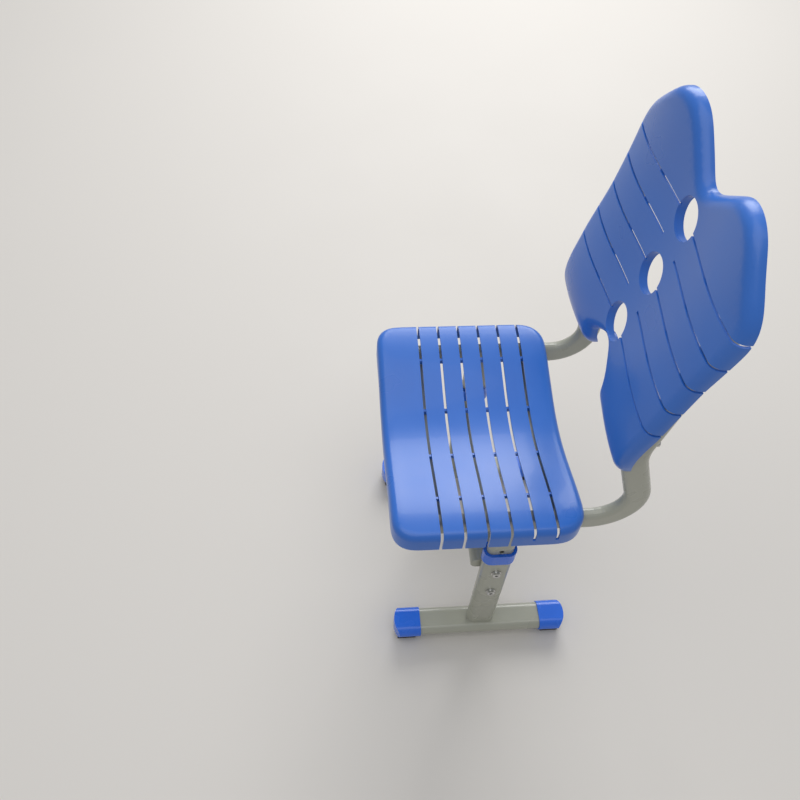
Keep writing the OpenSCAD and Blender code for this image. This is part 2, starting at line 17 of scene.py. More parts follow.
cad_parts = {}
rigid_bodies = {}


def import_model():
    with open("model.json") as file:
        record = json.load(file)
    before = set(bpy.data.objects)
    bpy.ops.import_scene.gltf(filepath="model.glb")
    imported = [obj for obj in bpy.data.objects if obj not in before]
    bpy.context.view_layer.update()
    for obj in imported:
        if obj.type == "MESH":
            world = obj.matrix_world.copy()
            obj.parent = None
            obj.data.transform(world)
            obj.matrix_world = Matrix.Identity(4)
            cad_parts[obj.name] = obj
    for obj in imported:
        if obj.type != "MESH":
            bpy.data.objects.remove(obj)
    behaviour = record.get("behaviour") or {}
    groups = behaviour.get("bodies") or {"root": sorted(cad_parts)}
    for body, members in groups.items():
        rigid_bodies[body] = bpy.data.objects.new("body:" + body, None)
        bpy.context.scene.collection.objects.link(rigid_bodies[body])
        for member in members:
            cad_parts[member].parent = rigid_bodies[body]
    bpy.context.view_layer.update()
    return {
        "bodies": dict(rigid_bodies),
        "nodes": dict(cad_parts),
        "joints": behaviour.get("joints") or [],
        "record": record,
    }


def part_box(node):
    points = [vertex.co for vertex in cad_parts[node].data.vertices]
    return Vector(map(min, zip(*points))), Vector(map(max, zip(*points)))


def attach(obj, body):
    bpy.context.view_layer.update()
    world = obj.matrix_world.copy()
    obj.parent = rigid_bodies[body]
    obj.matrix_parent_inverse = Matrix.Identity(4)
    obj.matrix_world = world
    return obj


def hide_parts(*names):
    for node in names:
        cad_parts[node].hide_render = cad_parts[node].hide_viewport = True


LOG = logging.getLogger("chair")
MM = 0.001
GRID_SNAP = 1e-7  # how near a vertex counts as on a cutting plane, in the grid and in slots and holes
CUT_SNAP = 1e-6


class Slot(Enum):
    """The record's material slots."""

    COAT = "frame_coat"
    SHELL = "shell_plastic"
    CAP = "cap_plastic"
    BOLT = "bolt_chrome"
    RUBBER = "foot_rubber"


def linear(code: str) -> tuple[float, float, float, float]:
    """Turns an sRGB colour into the linear one that shaders use.

    Args:
        code: Six hexadecimal digits, such as "2F5FD0".

    Returns:
        Red, green, blue and an alpha of 1.
    """

    def channel(text: str) -> float:
        """One channel of the colour, from two hexadecimal digits."""
        value = int(text, 16) / 255
        return value / 12.92 if value <= 0.04045 else ((value + 0.055) / 1.055) ** 2.4

    return channel(code[0:2]), channel(code[2:4]), channel(code[4:6]), 1.0


def add_node(tree: bpy.types.NodeTree, kind: str, links: dict | None = None, **settings) -> bpy.types.Node:
    """Adds a node with its settings and its incoming links.

    Args:
        tree: The material's node tree.
        kind: The node's type name.
        links: Input name to the output socket, or the plain value, that feeds it.
        settings: Properties to set on the node before its sockets are used.

    Returns:
        The new node.
    """
    node = tree.nodes.new(kind)
    for name, value in settings.items():
        setattr(node, name, value)
    for name, value in (links or {}).items():
        if isinstance(value, bpy.types.NodeSocket):
            tree.links.new(value, node.inputs[name])
        else:
            node.inputs[name].default_value = value
    return node


@dataclass(frozen=True)
class Finish:
    """A surface finish: a mottled base colour, fine grain and a soft unevenness.

    Attributes:
        name: What the material is and how its surface was made.
        light: sRGB colour of the paler patches.
        dark: sRGB colour of the deeper patches.
        roughness: Lowest and highest roughness over the surface.
        metallic: 1 for bare metal, otherwise 0.
        ior: Refractive index of the surface.
        coat: Weight of a clear gloss layer.
        patch_mm: Size of the patches in the colour.
        grain_mm: Size of the surface grain.
        grain_depth_mm: How deep the grain is.
        wave_mm: Size of the broad unevenness, such as sink marks and flow.
        wave_depth_mm: How deep that unevenness is.
    """

    name: str
    light: str
    dark: str
    roughness: tuple[float, float]
    metallic: float = 0.0
    ior: float = 1.49
    coat: float = 0.0
    patch_mm: float = 90.0
    grain_mm: float = 1.2
    grain_depth_mm: float = 0.02
    wave_mm: float = 60.0
    wave_depth_mm: float = 0.0

    def build(self) -> bpy.types.Material:
        """Builds the node material.

        Returns:
            The finished material.
        """
        material = bpy.data.materials.new(self.name)
        material.use_nodes = True
        tree = material.node_tree
        shader = tree.nodes["Principled BSDF"]
        place = add_node(tree, "ShaderNodeTexCoord").outputs["Object"]
        patches = self._noise(tree, place, self.patch_mm, 3.0)
        grain = self._noise(tree, place, self.grain_mm, 2.0)
        colour = add_node(tree, "ShaderNodeMix", data_type="RGBA")
        tree.links.new(patches, colour.inputs["Factor"])
        colour.inputs[6].default_value = linear(self.dark)
        colour.inputs[7].default_value = linear(self.light)
        tree.links.new(colour.outputs[2], shader.inputs["Base Color"])
        rough = add_node(tree, "ShaderNodeMapRange", {"Value": patches})
        rough.inputs["From Min"].default_value = 0.3
        rough.inputs["From Max"].default_value = 0.7
        rough.inputs["To Min"].default_value = self.roughness[0]
        rough.inputs["To Max"].default_value = self.roughness[1]
        tree.links.new(rough.outputs["Result"], shader.inputs["Roughness"])
        shader.inputs["Metallic"].default_value = self.metallic
        shader.inputs["Coat Weight"].default_value = self.coat
        if not self.metallic:
            shader.inputs["IOR"].default_value = self.ior
        fine = add_node(tree, "ShaderNodeBump", {"Height": grain, "Distance": self.grain_depth_mm * MM})
        if self.wave_depth_mm:
            waves = self._noise(tree, place, self.wave_mm, 1.0)
            links = {"Height": waves, "Distance": self.wave_depth_mm * MM, "Normal": fine.outputs["Normal"]}
            fine = add_node(tree, "ShaderNodeBump", links)
        tree.links.new(fine.outputs["Normal"], shader.inputs["Normal"])
        return material

    @staticmethod
    def _noise(tree: bpy.types.NodeTree, place: bpy.types.NodeSocket, size_mm: float,
               detail: float) -> bpy.types.NodeSocket:
        """Adds a noise pattern whose features are size_mm across.

        Args:
            tree: The material's node tree.
            place: The coordinates that the pattern reads.
            size_mm: Size of a feature.
            detail: How many finer layers it has.

        Returns:
            The pattern's value.
        """
        links = {"Vector": place, "Scale": 1 / (size_mm * MM), "Detail": detail}
        return add_node(tree, "ShaderNodeTexNoise", links).outputs["Fac"]


# Injection-moulded polypropylene: a satin skin with a wide soft highlight and faint flow marks
SHELL = Finish("moulded_polypropylene", "3674D0", "2E68C2", (0.26, 0.38), ior=1.49, coat=0.1,
               patch_mm=120, grain_mm=1.6, grain_depth_mm=0.012, wave_mm=70, wave_depth_mm=0.25)
# The caps and collars are the same plastic from a polished mould, brighter and glossier
CAP = Finish("polished_polypropylene", "2E74EA", "2668DC", (0.2, 0.3), ior=1.49, coat=0.15,
             patch_mm=40, grain_mm=1.4, grain_depth_mm=0.008, wave_mm=25, wave_depth_mm=0.08)
# Powder coat over steel tube: grey-green, semi-gloss, with an orange-peel texture
COAT = Finish("powder_coated_steel", "AFB0A2", "A0A193", (0.24, 0.34), ior=1.5, coat=0.3,
              patch_mm=70, grain_mm=1.8, grain_depth_mm=0.03, wave_mm=30, wave_depth_mm=0.03)
# Zinc-chrome plated steel: bright, with fine turning marks
BOLT = Finish("plated_steel", "D6D6D4", "B9B9B8", (0.14, 0.26), metallic=1.0,
              patch_mm=6, grain_mm=0.8, grain_depth_mm=0.01)
# Moulded rubber: matt black with a dusty bloom
RUBBER = Finish("moulded_rubber", "2A2A2C", "1C1C1E", (0.6, 0.8), ior=1.52,
                patch_mm=12, grain_mm=1.0, grain_depth_mm=0.05)

FINISHES = {Slot.SHELL: SHELL, Slot.CAP: CAP, Slot.COAT: COAT, Slot.BOLT: BOLT, Slot.RUBBER: RUBBER}


class Paint:
    """Gives out each finish as one shared material."""

    def __init__(self) -> None:
        """Builds every finish once."""
        self.materials = {slot: finish.build() for slot, finish in FINISHES.items()}

    def dress(self, obj: bpy.types.Object, slot: Slot) -> None:
        """Puts one finish on an object.

        Args:
            obj: The mesh object.
            slot: Which finish it takes.
        """
        obj.data.materials.clear()
        obj.data.materials.append(self.materials[slot])


class Construction:
    """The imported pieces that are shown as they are."""

    def __init__(self, frame: dict) -> None:
        """Reads which slot each node takes.
        """
        self.nodes = frame["nodes"]
        self.slots = {row["node"]: Slot(row["material_slot"]) for row in frame["record"]["subparts"]}

    def dress(self, paint: Paint) -> None:
        """Puts each node's finish on it.

        Args:
            paint: The finishes.
        """
        for name, obj in sorted(self.nodes.items()):
            paint.dress(obj, self.slots[name])
            LOG.info("dressed %s as %s", name, self.slots[name].value)


def arc(cx: float, cz: float, r: float, start: float, end: float, steps: int) -> list[Vector]:
    """Points along an arc.

    Args:
        cx: Centre, across.
        cz: Centre, along.
        r: Radius.
        start: First angle in degrees.
        end: Last angle in degrees.
        steps: How many stretches it has.

    Returns:
        The points, steps + 1 of them.
    """
    angles = (math.radians(start + (end - start) * i / steps) for i in range(steps + 1))
    return [Vector((cx + r * math.cos(a), cz + r * math.sin(a))) for a in angles]


def closed_curve(corners: list[Vector], spacing: float, rounds: int) -> list[Vector]:
    """Rounds a closed outline and spaces its points evenly.

    Args:
        corners: The outline's points in order.
        spacing: Distance between the points of the result.
        rounds: How many times each point is averaged with its neighbours.

    Returns:
        The even, rounded outline.
    """
    line = _even(corners, spacing)
    for _ in range(rounds):
        n = len(line)
        line = [(line[i - 1] + 2 * line[i] + line[(i + 1) % n]) / 4 for i in range(n)]
    return _even(line, spacing)


def _even(line: list[Vector], spacing: float) -> list[Vector]:
    """Walks round a closed line and drops a point at even distances.

    Args:
        line: The closed line's points.
        spacing: Distance between the new points, as near as whole steps allow.

    Returns:
        The new points.
    """
    lengths = [(line[(i + 1) % len(line)] - line[i]).length for i in range(len(line))]
    total = sum(lengths)
    count = max(8, round(total / spacing))
    points, i, start = [], 0, 0.0
    for k in range(count):
        mark = total * k / count
        while start + lengths[i] < mark:
            start += lengths[i]
            i += 1
        step = (mark - start) / lengths[i] if lengths[i] else 0.0
        points.append(line[i].lerp(line[(i + 1) % len(line)], step))
    return points


@dataclass
class SlotCut:
    """A level slot across a shell, cut while the skin is still flat.

    Attributes:
        middle: Its middle along the shell.
        width: Its width.
        inner: Distance from the shell's middle to its inner end, or 0 if it runs right across.
        depth: How far down the skirt it runs.
    """

    middle: float
    width: float
    inner: float = 0.0
    depth: float = 1.0

    def planes(self) -> list[tuple[tuple, tuple]]:
        """The planes that bound the slot, each as a point and a direction."""
        sides = [((0, self.middle + k * self.width / 2, 0), (0, 1, 0)) for k in (-1, 1)]
        if self.inner:
            sides += [((k * self.inner, 0, 0), (1, 0, 0)) for k in (-1, 1)]
        if self.depth < 1:
            sides.append(((0, 0, self.depth), (0, 0, 1)))
        return sides

    def holds(self, point: Vector) -> bool:
        """Tells whether a point of the flat skin lies in the slot."""
        across = abs(point.x) >= self.inner
        return across and abs(point.y - self.middle) < self.width / 2 and point.z < self.depth


def to_object(bm: bmesh.types.BMesh, name: str) -> bpy.types.Object:
    """Turns a bmesh into a linked object and frees it.

    Args:
        bm: The mesh being built.
        name: The object's name.

    Returns:
        The object.
    """
    mesh = bpy.data.meshes.new(name)
    bm.to_mesh(mesh)
    bm.free()
    obj = bpy.data.objects.new(name, mesh)
    bpy.context.scene.collection.objects.link(obj)
    return obj


def apply_modifiers(obj: bpy.types.Object) -> None:
    """Replaces an object's mesh by what its modifiers make of it.

    Args:
        obj: The object.
    """
    graph = bpy.context.evaluated_depsgraph_get()
    mesh = bpy.data.meshes.new_from_object(obj.evaluated_get(graph))
    obj.modifiers.clear()
    obj.data = mesh


@dataclass
class PillowShell:
    """A moulded shell with a softly rounded rim, cut by slots.

    Its front skin is a grid that a subclass bends with height(). Towards the outline the skin rolls
    back through a quarter round, then runs on as a skirt.

    Attributes:
        node: The construction node that it stands for.
        name: The piece's own name.
        wall: Thickness of the skin.
        roll: Radius of the rolled rim.
        spacing: Distance between the outline's points.
        body: The body that it rides on.
        hole_sides: How many sides a round hole has.
        rim_rounds: How many times the outline is averaged.
        roll_steps: How many rings the rolled rim has.
        least_edge: Edges shorter than this are dissolved.
        least_skirt_run: The skirt runs at least this far beyond the rolled rim.
        cell: Size of a grid cell, as a multiple of spacing.
        edge: Width of the chamfer along every sharp edge.
        edge_angle_deg: Edges that turn by more than this count as sharp.
        rib_half: Half the thickness of a rib.
        rib_h: How far a rib stands behind the skin.
        rib_sink: How far a rib runs into the skin.
        boss_r: Radius of a screw boss.
        boss_gap: Clearance between a boss and the tube that carries it.
        boss_sides: How many sides a boss has.
    """

    node: str = ""
    name: str = ""
    wall: float = 0.0035
    roll: float = 0.014
    spacing: float = 0.006
    body: str = "seat"
    hole_sides: int = 48
    rim_rounds: int = 6
    roll_steps: int = 6
    least_edge: float = 0.05 * MM
    least_skirt_run: float = 0.001
    cell: float = 1.6
    edge: float = 0.7 * MM
    edge_angle_deg: float = 55.0
    rib_half: float = 0.002
    rib_h: float = 0.008
    rib_sink: float = 0.0002
    boss_r: float = 0.009
    boss_gap: float = 0.0003
    boss_sides: int = 32

    def outline(self) -> list[Vector]:
        """The closed outline, seen square on."""
        raise NotImplementedError

    def height(self, u: float, v: float, back: float) -> Vector:
        """Where a point of the outline's plane lies in the row frame, back behind the skin."""
        raise NotImplementedError

    def skirt(self, u: float, v: float) -> float:
        """How far the skirt runs behind the skin at this place on the rim."""
        raise NotImplementedError

    def slots(self) -> list[SlotCut]:
        """The slots in the skin."""
        raise NotImplementedError

    def holes(self) -> list[tuple[Vector, tuple[float, float]]]:
        """The round holes in the skin, each as its middle and its two half widths."""
        return []

    def skin(self) -> bpy.types.Object:
        """Builds the outer skin from the outline inwards and outwards.

        Returns:
            The open skin.
        """
        rim = closed_curve(self.outline(), self.spacing, self.rim_rounds)
        inward = self._inward(rim)
        bm = bmesh.new()
        inner = [p + n * self.roll for p, n in zip(rim, inward)]
        flat = [bm.verts.new((p.x, p.y, 0.0)) for p in inner]
        bm.faces.new(flat)
        rows = [(self.roll * (1 - math.sin(a)), self.roll * (1 - math.cos(a)))
                for a in (math.radians(90 / self.roll_steps * k) for k in range(1, self.roll_steps + 1))]
        ring = flat
        for inset, back in rows:
            ring = self._ring(bm, ring, [p + n * inset for p, n in zip(rim, inward)], [back] * len(rim))
        ends = [max(self.skirt(p.x, p.y), self.roll + self.least_skirt_run) for p in rim]
        self._ring(bm, ring, rim, ends)
        self._grid(bm, rim)
        for slot in self.slots():
            self._open(bm, slot)
        for place, radii in self.holes():
            self._pierce(bm, place, radii)
        bmesh.ops.dissolve_degenerate(bm, dist=self.least_edge, edges=bm.edges)
        for vert in bm.verts:
            vert.co = self.height(vert.co.x, vert.co.y, vert.co.z)
        bmesh.ops.recalc_face_normals(bm, faces=bm.faces)
        behind = self.height(0.0, rim[0].y, 1.0) - self.height(0.0, rim[0].y, 0.0)
        bm.normal_update()
        faced = sum(f.normal.dot(behind) * f.calc_area() for f in bm.faces)
        if faced > 0:
            bmesh.ops.reverse_faces(bm, faces=bm.faces)
        return to_object(bm, self.name)

    @staticmethod
    def _open(bm: bmesh.types.BMesh, slot: SlotCut) -> None:
        """Takes one slot out of the flat skin.

        Args:
            bm: The flat skin.
            slot: The slot.
        """
        reach = 3 * slot.width
        for place, normal in slot.planes():
            near = [f for f in bm.faces if any(abs(v.co.y - slot.middle) < reach for v in f.verts)]
            parts = {*near, *(e for f in near for e in f.edges), *(v for f in near for v in f.verts)}
            bmesh.ops.bisect_plane(bm, geom=list(parts), dist=CUT_SNAP, plane_co=place, plane_no=normal)
        gone = [f for f in bm.faces if slot.holds(f.calc_center_median())]
        bmesh.ops.delete(bm, geom=gone, context="FACES")

    def _pierce(self, bm: bmesh.types.BMesh, place: Vector, radii: tuple[float, float]) -> None:
        """Takes one round hole out of the flat skin, one tangent at a time.

        Args:
            bm: The flat skin.
            place: The hole's middle.
            radii: Half its width across and along the shell.
        """
        tangents = []
        for k in range(self.hole_sides):
            x, y = math.cos(math.tau * k / self.hole_sides), math.sin(math.tau * k / self.hole_sides)
            point = Vector((place.x + radii[0] * x, place.y + radii[1] * y, 0))
            tangents.append((point, Vector((x / radii[0], y / radii[1], 0)).normalized()))
        for point, normal in tangents:
            near = [f for f in bm.faces if (f.calc_center_median() - point).length < 2 * self.spacing]
            parts = {*near, *(e for f in near for e in f.edges), *(v for f in near for v in f.verts)}
            bmesh.ops.bisect_plane(bm, geom=list(parts), dist=CUT_SNAP, plane_co=point, plane_no=normal)
        gone = [f for f in bm.faces
                if all((f.calc_center_median() - point).dot(normal) < 0 for point, normal in tangents)]
        bmesh.ops.delete(bm, geom=gone, context="FACES")

    def _grid(self, bm: bmesh.types.BMesh, edge: list[Vector]) -> None:
        """Cuts the skin into cells, so that it can be bent.

        Args:
            bm: The flat skin.
            edge: The shell's outline.
        """
        cell = self.spacing * self.cell
        low = Vector((min(p.x for p in edge), min(p.y for p in edge)))
        high = Vector((max(p.x for p in edge), max(p.y for p in edge)))
        for axis in (0, 1):
            count = int((high[axis] - low[axis]) / cell)
            for k in range(1, count):
                at = low[axis] + (high[axis] - low[axis]) * k / count
                place = (at, 0, 0) if axis == 0 else (0, at, 0)
                normal = (1, 0, 0) if axis == 0 else (0, 1, 0)
                parts = [*bm.verts, *bm.edges, *bm.faces]
                bmesh.ops.bisect_plane(bm, geom=parts, dist=GRID_SNAP, plane_co=place, plane_no=normal)

    @staticmethod
    def _ring(bm: bmesh.types.BMesh, ring: list, points: list[Vector], back: list[float]) -> list:
        """Adds the next ring of the rim, bridged to the one before.

        Args:
            bm: The flat skin.
            ring: The vertices of the ring before.
            points: The new ring in the outline's plane.
            back: How far each new point lies behind the skin.

        Returns:
            The new ring's vertices.
        """
        new = [bm.verts.new((p.x, p.y, b)) for p, b in zip(points, back)]
        n = len(new)
        for i in range(n):
            bm.faces.new((ring[i], ring[(i + 1) % n], new[(i + 1) % n], new[i]))
        return new

    @staticmethod
    def _inward(rim: list[Vector]) -> list[Vector]:
        """The inward direction at each point of the outline.

        Args:
            rim: The outline's points, evenly spaced.

        Returns:
            One unit vector for each point.
        """
        n = len(rim)
        result = []
        for i in range(n):
            along = (rim[(i + 1) % n] - rim[i - 1]).normalized()
            result.append(Vector((-along.y, along.x)))
        return result

    def finish(self, obj: bpy.types.Object, paint: Paint) -> None:
        """Args:
            obj: The shell.
            paint: The finishes.
        """
        for polygon in obj.data.polygons:
            polygon.use_smooth = True
        bevel = obj.modifiers.new("mould_edge", "BEVEL")
        bevel.limit_method = "ANGLE"
        bevel.angle_limit = math.radians(self.edge_angle_deg)
        bevel.width = self.edge
        bevel.segments = 2
        bevel.harden_normals = True
        paint.dress(obj, Slot.SHELL)
        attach(obj, self.body)
        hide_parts(self.node)
        LOG.info("built %s", self.name)

    def thicken(self, obj: bpy.types.Object) -> None:
        """Gives the skin its wall, inwards.

        Args:
            obj: The open skin.
        """
        wall = obj.modifiers.new("wall", "SOLIDIFY")
        wall.thickness = self.wall
        wall.offset = -1.0
        apply_modifiers(obj)

    def bent_bar(self, bm: bmesh.types.BMesh, u: tuple, v: tuple, back: tuple) -> None:
        """Adds a rib that follows the skin.

        Args:
            bm: The mesh that takes the rib.
            u: Its two sides across the shell.
            v: Its two ends along the shell.
            back: Its front and rear faces behind the skin.
        """
        part = bmesh.new()
        bmesh.ops.create_cube(part, size=1.0)
        bmesh.ops.scale(part, vec=(u[1] - u[0], v[1] - v[0], back[1] - back[0]), verts=part.verts)
        middle = Vector(((u[0] + u[1]) / 2, (v[0] + v[1]) / 2, (back[0] + back[1]) / 2))
        bmesh.ops.translate(part, vec=middle, verts=part.verts)
        count = max(2, int((v[1] - v[0]) / self.spacing / 2))
        for k in range(1, count):
            place = (0, v[0] + (v[1] - v[0]) * k / count, 0)
            bmesh.ops.bisect_plane(part, geom=[*part.verts, *part.edges, *part.faces], dist=GRID_SNAP,
                                   plane_co=place, plane_no=(0, 1, 0))
        for vert in part.verts:
            vert.co = self.height(vert.co.x, vert.co.y, vert.co.z)
        bmesh.ops.recalc_face_normals(part, faces=part.faces)
        merge(bm, part)

    def add_rib(self, bm: bmesh.types.BMesh, place: float, ends: tuple[float, float]) -> None:
        """Adds a rib that runs along the shell, just into its skin.

        Args:
            bm: The mesh that takes the rib.
            place: Its middle across the shell.
            ends: Where it starts and ends along the shell.
        """
        back = (self.wall - self.rib_sink, self.wall + self.rib_h)
        self.bent_bar(bm, (place - self.rib_half, place + self.rib_half), ends, back)

    def declare_ribs(self, bm: bmesh.types.BMesh, paint: Paint) -> None:
        """Makes the ribs and bosses behind the skin a piece of their own.

        Args:
            bm: The ribs and bosses, which this frees.
            paint: The finishes.
        """
        ribs = to_object(bm, self.name + "_ribs")
        paint.dress(ribs, Slot.SHELL)
        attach(ribs, self.body)
        LOG.info("built %s", ribs.name)


def merge(bm: bmesh.types.BMesh, part: bmesh.types.BMesh) -> None:
    """Moves one bmesh into another and frees it.

    Args:
        bm: The mesh that takes it.
        part: The mesh that is moved.
    """
    mesh = bpy.data.meshes.new("part")
    part.to_mesh(mesh)
    part.free()
    bm.from_mesh(mesh)
    bpy.data.meshes.remove(mesh)


def cylinder(radius: float, length: float, turn: Matrix, place: Vector, sides: int) -> bmesh.types.BMesh:
    """A closed cylinder whose axis starts at place and runs along the turned +Z.

    Args:
        radius: Its radius.
        length: Its length.
        turn: Rotation of its axis.
        place: Middle of its first end.
        sides: How many sides it has.

    Returns:
        The cylinder.
    """
    bm = bmesh.new()
    bmesh.ops.create_cone(bm, cap_ends=True, segments=sides, radius1=radius, radius2=radius, depth=length)
    bmesh.ops.translate(bm, vec=(0, 0, length / 2), verts=bm.verts)
    bmesh.ops.transform(bm, matrix=Matrix.Translation(place) @ turn.to_4x4(), verts=bm.verts)
    return bm


@dataclass
class MouldedSeat(PillowShell):
    """The seat: a dished saddle between two side rims, with six slots across it.

    Attributes:
        half: Half the seat's width.
        front: The seat's front edge.
        depth: The seat from front to rear.
        rim_z: Height of the side rims.
        dish: How far the middle lies below the rims.
        dish_half: Half the width of the dish.
        front_r: Radius of the front corners.
        rear_r: Radius of the rear corners.
        first_slot: Middle of the first slot, from the front edge.
        pitch: From slot to slot.
        slot_count: How many slots there are.
        slot_w: Width of a slot.
        short_slots: How many rear slots stop part way down the sides.
        short_drop: How far down the sides those run.
        side_skirt: How far the side skirts reach below the rims.
        least_skirt: How far the front and rear skirts reach below the skin.
        corner_steps: How many stretches a rounded corner has.
        rib_x: Middles of the ribs.
        rib_inset: From the seat's edge to the ribs' ends.
        screw_x: Middles of the screw bosses.
    """

    node: str = "seat_shell"
    name: str = "moulded_seat"
    half: float = 0.210
    front: float = -0.19857
    depth: float = 0.296
    rim_z: float = 0.440
    dish: float = 0.032
    dish_half: float = 0.192
    front_r: float = 0.030
    rear_r: float = 0.040
    first_slot: float = 0.073
    pitch: float = 0.035
    slot_count: int = 6
    slot_w: float = 0.0045
    short_slots: int = 2
    short_drop: float = 0.022
    side_skirt: float = 0.036
    least_skirt: float = 0.024
    corner_steps: int = 10
    rib_x: tuple[float, ...] = (-0.136, -0.045, 0.045, 0.136)
    rib_inset: float = 0.02
    screw_x: tuple[float, ...] = (-0.06, 0.06)
    roll: float = 0.012

    def top(self, u: float) -> float:
        """Height of the seat's skin across its width."""
        if abs(u) >= self.dish_half:
            return self.rim_z
        return self.rim_z - self.dish * (0.5 + 0.5 * math.cos(math.pi * u / self.dish_half))

    def height(self, u: float, v: float, back: float) -> Vector:
        """A point back below the skin."""
        return Vector((u, v, self.top(u) - back))

    def skirt(self, u: float, v: float) -> float:
        """Deeper at the sides than at the front and rear."""
        return max(self.least_skirt, self.top(u) - (self.rim_z - self.side_skirt))

    def slots(self) -> list[SlotCut]:
        """Slots right across, of which the rear ones stop part way down the sides."""
        full = self.slot_count - self.short_slots
        return [SlotCut(self.front + self.first_slot + self.pitch * i, self.slot_w,
                        depth=1.0 if i < full else self.short_drop) for i in range(self.slot_count)]

    def outline(self) -> list[Vector]:
        """Rounded rectangle in plan."""
        rear = self.front + self.depth
        corners = ((self.half - self.front_r, self.front + self.front_r, self.front_r, -90),
                   (self.half - self.rear_r, rear - self.rear_r, self.rear_r, 0),
                   (self.rear_r - self.half, rear - self.rear_r, self.rear_r, 90),
                   (self.front_r - self.half, self.front + self.front_r, self.front_r, 180))
        return [p for cx, cy, r, a in corners for p in arc(cx, cy, r, a, a + 90, self.corner_steps)]

    def build(self, paint: Paint) -> None:
        """Makes the seat and its ribs.

        Args:
            paint: The finishes.
        """
        obj = self.skin()
        self.thicken(obj)
        self.finish(obj, paint)
        ribs = bmesh.new()
        ends = (self.front + self.rib_inset, self.front + self.depth - self.rib_inset)
        for u in self.rib_x:
            self.add_rib(ribs, u, ends)
        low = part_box("front_cross_rail")[1].z
        for node in ("front_cross_rail", "rear_cross_rail"):
            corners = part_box(node)
            middle = (corners[0].y + corners[1].y) / 2
            for x in self.screw_x:
                length = self.top(x) - self.wall - low
                foot = Vector((x, middle, low + self.boss_gap))
                merge(ribs, cylinder(self.boss_r, length, Matrix.Identity(3), foot, self.boss_sides))
        self.declare_ribs(ribs, paint)


